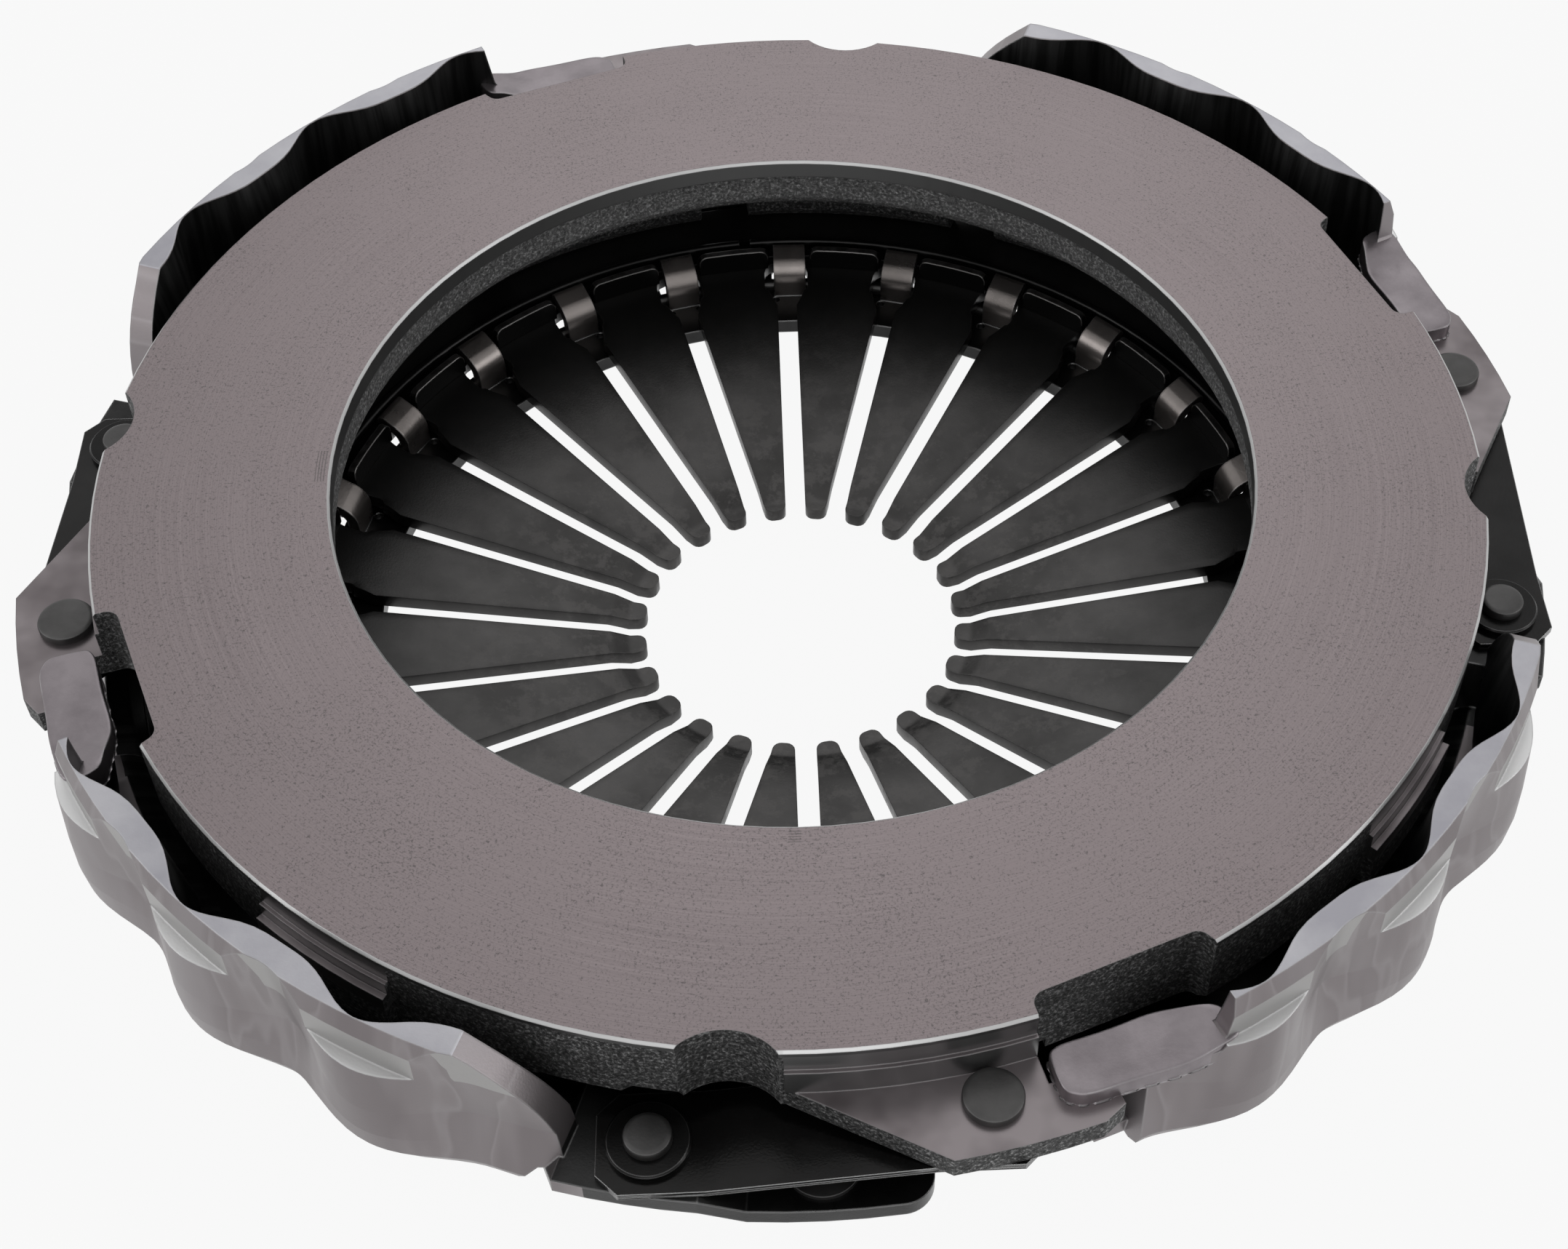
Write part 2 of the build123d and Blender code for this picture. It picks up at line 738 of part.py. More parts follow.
washer_top = strap_seat_top + washer_thickness
with BuildPart() as cover_washers:
    extrude(cover_hole_plan(washer_r, strap_seat_top), amount=washer_thickness)
    extrude(cover_hole_plan(shank_r + running_gap, strap_seat_top), amount=washer_thickness,
            mode=Mode.SUBTRACT)
cover_washers.part.label = "cover_washers"
export_step(cover_washers.part, "parts/cover_washers.step")

cover_tail_top = seat_z - cover_sheet
with BuildPart() as cover_rivets:
    extrude(cover_hole_plan(cover_head_r, washer_top), amount=cover_head)
    extrude(cover_hole_plan(shank_r, cover_tail_top), amount=washer_top - cover_tail_top)
    extrude(cover_hole_plan(tail_r, cover_tail_top), amount=-tail)
cover_rivets.part.label = "cover_rivets"
export_step(cover_rivets.part, "parts/cover_rivets.step")

with BuildPart() as balance_rivet:
    plane = Plane.XY.rotated((0, 0, balance_station * station_pitch)).offset(ledge_z)
    with BuildSketch(plane):
        with Locations((balance_n, balance_t)):
            Circle(balance_r)
    extrude(amount=balance_head)
balance_rivet.part.label = "balance_rivet"
export_step(balance_rivet.part, "parts/balance_rivet.step")
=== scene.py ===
# %% [markdown]
# # A clutch pressure plate in Blender
# The part is a diaphragm spring clutch cover assembly, lying on its back with the friction ring up.
# The solids come from a CAD model. This notebook lights them, gives each one a finish made of
# shader nodes, and rebuilds the pieces whose soft edges and small forms the eye goes to.

# %% Load the CAD model as a fixed frame
import bpy
import bmesh
from math import asin, cos, pi, radians, sin
from mathutils import Matrix, Vector


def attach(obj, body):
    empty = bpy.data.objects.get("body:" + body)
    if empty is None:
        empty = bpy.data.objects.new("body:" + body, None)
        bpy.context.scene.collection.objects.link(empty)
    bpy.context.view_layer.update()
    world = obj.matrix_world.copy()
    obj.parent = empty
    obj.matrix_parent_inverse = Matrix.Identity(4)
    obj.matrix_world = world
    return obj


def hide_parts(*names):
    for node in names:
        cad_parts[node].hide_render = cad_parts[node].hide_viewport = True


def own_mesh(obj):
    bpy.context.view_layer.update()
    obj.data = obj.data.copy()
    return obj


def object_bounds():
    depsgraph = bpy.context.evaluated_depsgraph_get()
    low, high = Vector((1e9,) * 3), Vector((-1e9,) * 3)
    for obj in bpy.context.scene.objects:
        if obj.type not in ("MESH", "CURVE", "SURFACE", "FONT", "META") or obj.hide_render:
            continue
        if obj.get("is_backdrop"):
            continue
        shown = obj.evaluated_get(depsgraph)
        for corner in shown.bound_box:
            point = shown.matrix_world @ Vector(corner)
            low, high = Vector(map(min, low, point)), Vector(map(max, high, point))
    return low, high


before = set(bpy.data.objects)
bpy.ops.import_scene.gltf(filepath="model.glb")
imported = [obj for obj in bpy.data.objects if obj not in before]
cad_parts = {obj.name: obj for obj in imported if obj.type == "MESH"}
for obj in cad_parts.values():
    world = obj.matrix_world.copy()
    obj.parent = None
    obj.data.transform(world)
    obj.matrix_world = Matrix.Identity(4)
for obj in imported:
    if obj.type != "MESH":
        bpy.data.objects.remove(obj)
cad_box = [list(corner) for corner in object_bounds()]
MM = 0.001
scene = bpy.context.scene

# %% [markdown]
# ## Camera
# The camera stands 0.76 m from the centre of the friction face, about 45 degrees above it, and
# looks a little past the object, so that the ring is seen with a slight lean. Its focal length
# and its shifts are counted in pixels of a picture 2156 wide, and the angles in radians.

# %% Camera
def turn(axis, angle):
    return Matrix.Rotation(angle, 3, axis)


elevation = 0.787978
distance = 0.762107
roll, tilt, pan = 0.027043, 0.086949, 0.048207
frame_width = 2156
focal_length, shift_right, shift_up = 3323.96, -184.07, 49.84
sensor_width = 36
back = Vector((0, -cos(elevation), sin(elevation)))
right = Vector((1, 0, 0))
upward = back.cross(right)
lean = turn("Z", roll) @ turn("X", tilt) @ turn("Y", pan)
world_to_view = lean @ Matrix((right, upward, back))
camera_data = bpy.data.cameras.new("camera")
camera_data.sensor_width = sensor_width
camera_data.lens = focal_length / frame_width * sensor_width
camera_data.shift_x = shift_right / frame_width
camera_data.shift_y = shift_up / frame_width
camera = bpy.data.objects.new("camera", camera_data)
camera.matrix_world = Matrix.Translation(back * distance) @ world_to_view.transposed().to_4x4()
scene.collection.objects.link(camera)
scene.camera = camera
print("camera lens, mm:", round(camera_data.lens, 1))

# %% [markdown]
# ## Floor, background and light
# The floor is near white. A share of it is plain white to the camera and in reflections, so that
# the object still drops a faint shadow on it. Soft panels behind, in front and at both sides
# give the metal something to reflect, and a dim even surround keeps the hollows dark.

# %% Node helpers
def feed(tree, socket, value):
    """Gives an input a number, a colour, or a link from another node's output."""
    if isinstance(value, (int, float)):
        socket.default_value = value
    elif isinstance(value, tuple):
        socket.default_value = (*value, 1)
    else:
        tree.links.new(value, socket)


def calc(tree, operation, a, b=0.0, c=0.0):
    """One Math node. Each input is a number or another node's output."""
    node = tree.nodes.new("ShaderNodeMath")
    node.operation = operation
    for socket, value in zip(node.inputs, (a, b, c)):
        feed(tree, socket, value)
    return node.outputs[0]


def empty_tree(owner):
    owner.use_nodes = True
    owner.node_tree.nodes.clear()
    return owner.node_tree


def seen_directly(tree):
    """1 for camera, glossy and transmission rays, 0 for the light that falls on things."""
    ray = tree.nodes.new("ShaderNodeLightPath").outputs
    mirrored = calc(tree, "MAXIMUM", ray["Is Glossy Ray"], ray["Is Transmission Ray"])
    return calc(tree, "MAXIMUM", ray["Is Camera Ray"], mirrored)


# %% Floor
floor_z = -85.8 * MM
floor_half = 6.0
corners = [(-floor_half, -floor_half), (floor_half, -floor_half),
           (floor_half, floor_half), (-floor_half, floor_half)]
floor_mesh = bpy.data.meshes.new("floor")
floor_mesh.from_pydata([(x, y, floor_z) for x, y in corners], [], [(0, 1, 2, 3)])
floor = bpy.data.objects.new("floor", floor_mesh)
scene.collection.objects.link(floor)
floor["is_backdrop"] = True
print("floor at, mm:", round(floor_z / MM, 1))

# %% White paper for the floor
paper_tone, glow_tone, glow_share = 0.82, 0.957, 0.97
white_paper = bpy.data.materials.new("white_paper")
tree = empty_tree(white_paper)
matt = tree.nodes.new("ShaderNodeBsdfDiffuse")
matt.inputs["Color"].default_value = (paper_tone, paper_tone, paper_tone, 1)
glow = tree.nodes.new("ShaderNodeEmission")
glow.inputs["Color"].default_value = (glow_tone, glow_tone, glow_tone, 1)
blend = tree.nodes.new("ShaderNodeMixShader")
tree.links.new(calc(tree, "MULTIPLY", seen_directly(tree), glow_share), blend.inputs[0])
tree.links.new(matt.outputs[0], blend.inputs[1])
tree.links.new(glow.outputs[0], blend.inputs[2])
tree.links.new(blend.outputs[0], tree.nodes.new("ShaderNodeOutputMaterial").inputs[0])
floor_mesh.materials.append(white_paper)
print("floor finish:", white_paper.name)

# %% Surround
light_strength, seen_strength = 0.30, 0.66
world = bpy.data.worlds.new("surround")
scene.world = world
tree = empty_tree(world)
surround = tree.nodes.new("ShaderNodeBackground")
surround.inputs["Color"].default_value = (1, 1, 1, 1)
strength = calc(tree, "MULTIPLY_ADD", seen_directly(tree), seen_strength, light_strength)
tree.links.new(strength, surround.inputs["Strength"])
tree.links.new(surround.outputs[0], tree.nodes.new("ShaderNodeOutputWorld").inputs[0])
print("surround as light:", light_strength, "and more where it is seen:", seen_strength)

# %% Lamps
def panel(name, place, size, watts, aim=(0, 0, -0.02)):
    """A soft square lamp that looks at the object."""
    data = bpy.data.lights.new(name, "AREA")
    data.shape = "SQUARE"
    data.size = size
    data.energy = watts
    lamp = bpy.data.objects.new(name, data)
    lamp.location = place
    lamp.rotation_euler = (Vector(aim) - Vector(place)).to_track_quat("-Z", "Y").to_euler()
    scene.collection.objects.link(lamp)


panel("back_panel", (0.1, 1.5, 1.5), 1.3, 3.8)
panel("front_panel", (-0.1, -1.6, 1.2), 1.1, 4.0)
panel("side_panel", (1.8, -0.4, 0.8), 0.9, 6.5)
panel("far_side_panel", (-1.7, -0.3, 0.9), 0.9, 4.8)
scene.view_settings.view_transform = "Standard"

# %% [markdown]
# ## Finishes
# Each finish is one shader built from nodes. A finish reads Object coordinates, which are the
# CAD coordinates in metres, so turning marks follow the real axis and a machined face can be
# told from a rough cast one by where it lies and which way it looks.

# %% The start of a finish
class Finish:
    """A new material with its shader, and the sockets that say where on the part a point lies."""

    def __init__(self, name, metallic):
        self.material = bpy.data.materials.new(name)
        self.material.use_nodes = True
        self.tree = self.material.node_tree
        self.shader = self.tree.nodes["Principled BSDF"]
        self.shader.inputs["Metallic"].default_value = metallic
        self.coords = self.tree.nodes.new("ShaderNodeTexCoord").outputs["Object"]
        self.x, self.y, self.height = self.split(self.coords)
        self.radius = self.length(self.x, self.y)
        surface = self.tree.nodes.new("ShaderNodeNewGeometry")
        nx, ny, self.up = self.split(surface.outputs["Normal"])
        self.outward = self.math("DIVIDE", self.product_sum(nx, self.x, ny, self.y), self.radius)
        self.degrees = self.math("MULTIPLY", self.math("ARCTAN2", self.y, self.x), 180 / pi)

    def split(self, vector):
        node = self.tree.nodes.new("ShaderNodeSeparateXYZ")
        self.tree.links.new(vector, node.inputs[0])
        return node.outputs

    def math(self, operation, a, b=0.0, c=0.0):
        return calc(self.tree, operation, a, b, c)

    def product_sum(self, a, b, c, d):
        """a times b, plus c times d."""
        return self.math("ADD", self.math("MULTIPLY", a, b), self.math("MULTIPLY", c, d))

    def length(self, a, b):
        return self.math("SQRT", self.product_sum(a, a, b, b))

    def both(self, *masks):
        result = masks[0]
        for mask in masks[1:]:
            result = self.math("MULTIPLY", result, mask)
        return result

    def either(self, a, b):
        return self.math("MAXIMUM", a, b)

    def above(self, value, limit):
        return self.math("GREATER_THAN", value, limit)

    def below(self, value, limit):
        return self.math("LESS_THAN", value, limit)

    def share(self, value, low, high):
        """0 at low, 1 at high, and a straight passage between them."""
        node = self.tree.nodes.new("ShaderNodeMapRange")
        node.inputs["From Min"].default_value = low
        node.inputs["From Max"].default_value = high
        self.tree.links.new(value, node.inputs["Value"])
        return node.outputs[0]

    def station_sector(self, start, span):
        """1 inside a sector that starts at an angle past each of the four stations."""
        local = self.math("FLOORED_MODULO", self.math("SUBTRACT", self.degrees, start), 90.0)
        return self.below(local, span)


# %% Patterns and mixing
class Shades(Finish):
    """The patterns that the finishes share."""

    def noise(self, scale, detail=3.0, roughness=0.6, vector=None):
        """Noise with so many features per metre."""
        node = self.tree.nodes.new("ShaderNodeTexNoise")
        node.inputs["Scale"].default_value = scale
        node.inputs["Detail"].default_value = detail
        node.inputs["Roughness"].default_value = roughness
        self.tree.links.new(vector or self.coords, node.inputs["Vector"])
        return node.outputs["Fac"]

    def vector(self, a, b):
        node = self.tree.nodes.new("ShaderNodeCombineXYZ")
        for socket, value in zip(node.inputs, (a, b)):
            feed(self.tree, socket, value)
        return node.outputs[0]

    def turned_lines(self, per_metre, wander=8.0):
        """Fine lines along the radius, as a lathe leaves them, fading in and out round the ring."""
        drift = self.noise(wander, 2)
        outward = self.math("MULTIPLY", self.radius, per_metre)
        return self.noise(1.0, 2, 0.5, self.vector(outward, self.math("MULTIPLY", drift, 2.0)))

    def drawn_streaks(self, across, along):
        """Streaks that run down a wall: fine round the part, long in height."""
        bearing = self.math("MULTIPLY", self.degrees, across)
        down = self.math("MULTIPLY", self.height, along)
        return self.noise(1.0, 3, 0.55, self.vector(bearing, down))

    def ramp(self, factor, *stops):
        node = self.tree.nodes.new("ShaderNodeValToRGB")
        while len(node.color_ramp.elements) < len(stops):
            node.color_ramp.elements.new(0.5)
        for element, (position, colour) in zip(node.color_ramp.elements, stops):
            element.position = position
            element.color = (*colour, 1)
        self.tree.links.new(factor, node.inputs[0])
        return node.outputs[0]

    def mix(self, factor, a, b):
        node = self.tree.nodes.new("ShaderNodeMix")
        node.data_type = "RGBA"
        for number, value in ((0, factor), (6, a), (7, b)):
            feed(self.tree, node.inputs[number], value)
        return node.outputs[2]

    def edges(self, width, bent=0.975):
        """1 where the surface bends round a corner within this width, and the softened normal."""
        soft = self.tree.nodes.new("ShaderNodeBevel")
        soft.samples = 4
        soft.inputs["Radius"].default_value = width
        sharp = self.tree.nodes.new("ShaderNodeNewGeometry")
        meet = self.tree.nodes.new("ShaderNodeVectorMath")
        meet.operation = "DOT_PRODUCT"
        self.tree.links.new(soft.outputs[0], meet.inputs[0])
        self.tree.links.new(sharp.outputs["Normal"], meet.inputs[1])
        return self.below(meet.outputs["Value"], bent), soft.outputs[0]

    def worn_and_highlit_edges(self, colour, width, strength, tone):
        """The colour with its edges painted paler, as wear and as a painted highlight, and the
        softened normal.
        """
        edge, soft_normal = self.edges(width)
        return self.mix(self.math("MULTIPLY", edge, strength), colour, grey(tone)), soft_normal

    def close(self, colour, rough, relief, depth, normal):
        """Links colour, roughness and relief to the shader."""
        self.tree.links.new(colour, self.shader.inputs["Base Color"])
        self.tree.links.new(rough, self.shader.inputs["Roughness"])
        bump = self.tree.nodes.new("ShaderNodeBump")
        bump.inputs["Distance"].default_value = depth
        self.tree.links.new(relief, bump.inputs["Height"])
        self.tree.links.new(normal, bump.inputs["Normal"])
        self.tree.links.new(bump.outputs[0], self.shader.inputs["Normal"])
        print(self.material.name, "nodes:", len(self.tree.nodes))
        return self.material


def grey(level, warm=0.0):
    return (level * (1 + warm), level, level * (1 - warm / 2))


# %% [markdown]
# ## Cast iron with turned faces
# The ring is a sand casting. Only the friction face, the top of its bore, the lug tops and the
# steps beside the lugs are turned. The turned faces get fine lines round the axis and small dark
# graphite pits, and all the rest gets a rough, sparkling casting skin. One shader holds both, and
# masks of place and direction choose between them, so no seam has to be painted.

# %% Where the iron is turned
iron = Shades("cast_and_turned_iron", 0.85)
level_face = iron.above(iron.up, 0.9)
friction = iron.both(level_face, iron.above(iron.height, -0.0004))
lug_face = iron.both(level_face, iron.above(iron.height, -0.0185), iron.below(iron.height, -0.002))
bore_band = iron.both(iron.below(iron.radius, 0.1447), iron.above(iron.height, -0.0066))
# The chamfers round the friction face get pale grey below: a painted highlight.
corner = iron.both(iron.above(iron.height, -0.0009), iron.below(iron.up, 0.9),
                   iron.above(iron.up, 0.3))
beside_lug = iron.either(iron.station_sector(-2.1, 17.9), iron.station_sector(46.7, 12.0))
turned_wall = iron.both(beside_lug, iron.above(iron.radius, 0.2145),
                        iron.above(iron.height, -0.0182), iron.below(iron.up, 0.9),
                        iron.below(iron.radius, 0.2215))
lip_band = iron.both(iron.above(iron.height, -0.0022), iron.above(iron.radius, 0.2155),
                     iron.below(iron.up, 0.3))
print("nodes that find the turned faces:", len(iron.tree.nodes))

# %% Lines, pits and stains of the friction face
face_light, face_dark = (0.245, 0.210, 0.214), (0.190, 0.162, 0.166)
face_stain = (0.17, 0.142, 0.146)
pit_share, stain_share = 0.62, 0.22
lines = iron.turned_lines(2600)
broad = iron.turned_lines(160)
worn = iron.share(iron.noise(22, 4), 0.38, 0.62)
strewn = iron.math("MULTIPLY", iron.math("SUBTRACT", 0.5, worn), 0.035)
fine_pits = iron.share(iron.math("SUBTRACT", iron.noise(1500, 2, 0.6), strewn), 0.575, 0.615)
coarse_pits = iron.share(iron.math("SUBTRACT", iron.noise(820, 4, 0.75), strewn), 0.590, 0.618)
pits = iron.either(iron.math("MULTIPLY", fine_pits, 0.62), coarse_pits)
stain = iron.noise(16, 5)
ground = iron.ramp(lines, (0.3, face_dark), (0.7, face_light))
ground = iron.mix(iron.math("MULTIPLY", broad, 0.12), ground, face_dark)
ground = iron.mix(iron.math("MULTIPLY", pits, pit_share), ground, grey(0.040))
ground = iron.mix(iron.math("MULTIPLY", stain, stain_share), ground, face_stain)
print("nodes with the friction face:", len(iron.tree.nodes))

# %% Tool marks beside the bore
tool_lines = iron.below(iron.math("MODULO", iron.radius, 0.0009), 0.0004)
front_marks = iron.both(iron.above(iron.degrees, -92.0), iron.below(iron.degrees, -90.6),
                        iron.below(iron.radius, 0.1503))
side_marks = iron.both(iron.above(iron.math("ABSOLUTE", iron.degrees), 177.4),
                       iron.below(iron.radius, 0.1488))
near_bore = iron.both(iron.either(front_marks, side_marks), iron.above(iron.radius, 0.1455),
                      tool_lines)
ground = iron.mix(iron.math("MULTIPLY", near_bore, 0.45), ground, grey(0.05))
print("nodes with the tool marks:", len(iron.tree.nodes))

# %% Casting skin and the other turned faces
cloud = iron.noise(38, 3)
smooth_top = iron.ramp(cloud, (0.36, (0.132, 0.116, 0.120)), (0.62, (0.232, 0.208, 0.214)))
sand = iron.noise(950, 3, 0.72)
cast = iron.ramp(sand, (0.34, grey(0.016)), (0.53, grey(0.075)), (0.70, grey(0.34)))
band_grey = iron.ramp(lines, (0.3, grey(0.085)), (0.7, grey(0.12)))
wall_grey = iron.ramp(lines, (0.3, grey(0.12)), (0.7, grey(0.26)))
# In the bore the same casting skin is painted paler, as a lit copy: painted light.
in_bore = iron.both(iron.below(iron.radius, 0.1462), iron.above(iron.height, -0.0196))
lit_bore_cast = iron.ramp(sand, (0.34, grey(0.060)), (0.53, grey(0.150)), (0.72, grey(0.45)))
colour = iron.mix(in_bore, cast, lit_bore_cast)
# The chamfers' grey, last in this list, is a painted highlight.
for mask, shade in ((bore_band, band_grey), (turned_wall, wall_grey), (lip_band, grey(0.11)),
                    (lug_face, smooth_top), (friction, ground), (corner, grey(0.46))):
    colour = iron.mix(mask, colour, shade)
print("nodes with every tone:", len(iron.tree.nodes))

# %% Gloss and relief of the iron
machined = iron.either(iron.either(friction, lug_face), iron.either(bore_band, turned_wall))
machined = iron.either(iron.either(machined, corner), lip_band)
# The iron's edges are painted paler, as wear and as a painted highlight.
colour, soft_normal = iron.worn_and_highlit_edges(colour, 0.5 * MM, 0.30, 0.30)
rough = iron.math("MULTIPLY_ADD", machined, -0.24, 0.62)
rough = iron.math("MULTIPLY_ADD", iron.either(lug_face, turned_wall), -0.10, rough)
grain = iron.math("MULTIPLY", iron.math("SUBTRACT", 1.0, machined), sand)
relief = iron.math("MULTIPLY_ADD", iron.math("MULTIPLY", lines, friction), 0.03, grain)
iron_finish = iron.close(colour, rough, relief, 0.6 * MM, soft_normal)

# %% [markdown]
# ## Pressed steel of the cover
# The cover is one stamping. Its wavy skirts are bare steel with streaks and duller patches where
# the sheet was stretched, the rim is turned flat, and the pilot below it is turned bright. The
# turned shoulder under the pilot is painted near white as a painted reflection of the light above,
# and the hidden inside and the seats behind the plate are painted near black as painted shade.

# %% Streaks and patches of the skirts
steel = Shades("pressed_cover_steel", 0.88)
blotch = steel.drawn_streaks(0.13, 7)
streaks = steel.drawn_streaks(0.9, 14)
patches = steel.noise(26, 5)
skirt = steel.ramp(blotch, (0.38, (0.185, 0.163, 0.167)), (0.47, (0.240, 0.216, 0.220)),
                   (0.49, (0.285, 0.263, 0.268)), (0.505, (0.222, 0.199, 0.203)),
                   (0.60, (0.258, 0.236, 0.242)))
skirt = steel.mix(steel.math("MULTIPLY", streaks, 0.30), skirt, (0.150, 0.135, 0.140))
skirt = steel.mix(steel.math("MULTIPLY", patches, 0.22), skirt, (0.300, 0.288, 0.300))
print("nodes with the skirts:", len(steel.tree.nodes))

# %% Rim, pilot, hidden inside and seats
rim_tone = steel.ramp(patches, (0.35, (0.300, 0.296, 0.325)), (0.65, (0.410, 0.406, 0.430)))
rim_face = steel.both(steel.above(steel.height, 0.0046), steel.above(steel.up, 0.7))
pilot_band = steel.both(steel.above(steel.height, -0.0104), steel.below(steel.height, 0.0046),
                        steel.above(steel.outward, 0.97), steel.below(steel.radius, 0.2373))
# The turned shoulder is painted near white: a painted reflection of the light above.
shoulder = steel.both(steel.above(steel.height, -0.0112), steel.below(steel.height, -0.0098),
                      steel.above(steel.up, 0.8), steel.above(steel.radius, 0.2366))
# The inside of the skirts is painted near black as painted shade.
inside = steel.both(steel.below(steel.outward, -0.2), steel.above(steel.radius, 0.205),
                    steel.below(steel.height, 0.0045))
shaded_inner_wall = steel.ramp(streaks, (0.42, grey(0.020)), (0.58, grey(0.055)))
# The seats behind the plate and the pan are painted near black as painted shade.
seat_sector = steel.both(steel.station_sector(-21.0, 37.0), steel.below(steel.outward, 0.6))
seat_sector = steel.either(seat_sector, steel.station_sector(-14.9, 24.0))
low_seat = steel.both(seat_sector, steel.below(steel.height, -0.0335))
shaded_pan = steel.either(low_seat, steel.below(steel.radius, 0.215))
tongues = steel.both(steel.below(steel.radius, 0.1725), steel.above(steel.height, -0.0690))
print("nodes that find the faces:", len(steel.tree.nodes))

# %% Put the cover steel together
colour = steel.mix(inside, skirt, shaded_inner_wall)
for mask, shade in ((shaded_pan, steel.ramp(patches, (0.4, grey(0.018)), (0.6, grey(0.038)))),
                    (tongues, steel.ramp(patches, (0.4, grey(0.11, 0.1)), (0.6, grey(0.19, 0.1)))),
                    (rim_face, rim_tone), (pilot_band, grey(0.33, 0.02)), (shoulder, grey(0.62))):
    colour = steel.mix(mask, colour, shade)
# The cover's edges are painted paler, as wear and as a painted highlight.
colour, soft_normal = steel.worn_and_highlit_edges(colour, 0.8 * MM, 0.45, 0.40)
rough = steel.math("MULTIPLY_ADD", patches, 0.14, 0.33)
rough = steel.math("MULTIPLY_ADD", shaded_pan, -0.12, rough)
cover_finish = steel.close(colour, rough, steel.noise(1400, 2), 0.03 * MM, soft_normal)

# %% [markdown]
# ## Small steel parts
# The spring is hardened and almost black, the rings are oiled, the rivets are dull from the
# press, and the straps are rolled strip. They differ in tone, gloss and cloud, so one function
# makes them all.

# %% Small steel parts
def dark_steel(name, tone, roughness, cloud_size=30, edge_wear_and_highlight=0.25, edge_tone=0.30):
    """A clouded, smeared steel of one tone. Its edges are painted paler, as wear and as a painted
    highlight.
    """
    warm = 0.02
    shades = Shades(name, 0.85)
    cloud = shades.noise(cloud_size, 5)
    smear = shades.noise(150, 4, 0.7)
    colour = shades.ramp(cloud, (0.34, grey(tone * 0.72, warm)), (0.66, grey(tone * 1.25, warm)))
    colour = shades.mix(shades.math("MULTIPLY", smear, 0.3), colour, grey(tone * 0.6, warm))
    colour, soft_normal = shades.worn_and_highlit_edges(colour, 0.4 * MM, edge_wear_and_highlight, edge_tone)
    rough = shades.math("MULTIPLY_ADD", cloud, 0.16, roughness - 0.08)
    return shades.close(colour, rough, shades.noise(1300, 2), 0.03 * MM, soft_normal)


ring_finish = dark_steel("oiled_ring_steel", 0.014, 0.30, 30, 0.5)
wire_finish = dark_steel("drawn_wire_steel", 0.050, 0.32)
rivet_finish = dark_steel("dull_rivet_steel", 0.070, 0.42, 60, 0.2)
washer_finish = dark_steel("oiled_washer_steel", 0.013, 0.26, 40, 0.35)
# The straps' edges are painted bright, as wear and as a painted highlight.
strap_finish = dark_steel("rolled_strap_steel", 0.018, 0.20, 26, 0.75, edge_tone=0.55)
print("finishes so far:", len(bpy.data.materials))

# %% [markdown]
# ## Bent tabs
# The ends of the skirts are folded in over the lugs as hold-back claws. They could share the
# skirts' finish, but its streaks run down a wall and a claw lies flat. So the tabs get a plain
# clouded steel of their own, smoother and a little darker, with edges painted pale as wear and
# as a painted highlight.

# %% Bent tabs of the cover
tab = Shades("bent_tab_steel", 0.85)
cloud = tab.noise(45, 5)
colour = tab.ramp(cloud, (0.36, (0.165, 0.147, 0.156)), (0.62, (0.245, 0.221, 0.233)))
# The tab's edges are painted pale, as wear and as a painted highlight.
colour, soft_normal = tab.worn_and_highlit_edges(colour, 0.5 * MM, 0.5, 0.55)
rough = tab.math("MULTIPLY_ADD", cloud, 0.12, 0.26)
claw_finish = tab.close(colour, rough, tab.noise(1300, 2), 0.03 * MM, soft_normal)

# %% [markdown]
# ## Spring and support ring
# The spring is nearly black, with pale smears on the inner half of its fingers, and from the
# middle outwards it is painted darker as the shade under the plate. The support ring is black as
# well, but the tops of its upstands are painted lighter as lit, with a painted highlight along
# their top edges. Both start from the same sockets as the other finishes, and differ by where
# their marks lie.

# %% Spring steel
blued = Shades("blued_spring_steel", 0.85)
cloud = blued.noise(34, 5)
inner_half = blued.share(blued.radius, 0.135, 0.085)
smear = blued.both(blued.share(blued.noise(120, 5, 0.72), 0.50, 0.60), inner_half)
colour = blued.ramp(cloud, (0.34, grey(0.031, 0.03)), (0.66, grey(0.056, 0.03)))
colour = blued.mix(blued.math("MULTIPLY", smear, 0.55), colour, grey(0.085, 0.04))
# From the middle of the fingers outwards the spring is painted darker: the shade under the plate.
shaded_outer_half = blued.share(blued.radius, 0.105, 0.150)
colour = blued.mix(blued.math("MULTIPLY", shaded_outer_half, 0.6), colour, grey(0.016))
# The spring's edges are painted paler, as wear and as a painted highlight.
colour, soft_normal = blued.worn_and_highlit_edges(colour, 0.4 * MM, 0.18, 0.22)
rough = blued.math("MULTIPLY_ADD", smear, 0.12, 0.32)
spring_finish = blued.close(colour, rough, blued.noise(1300, 2), 0.03 * MM, soft_normal)

# %% Support ring steel
upstand_steel = Shades("upstand_steel_lit_tops", 0.85)
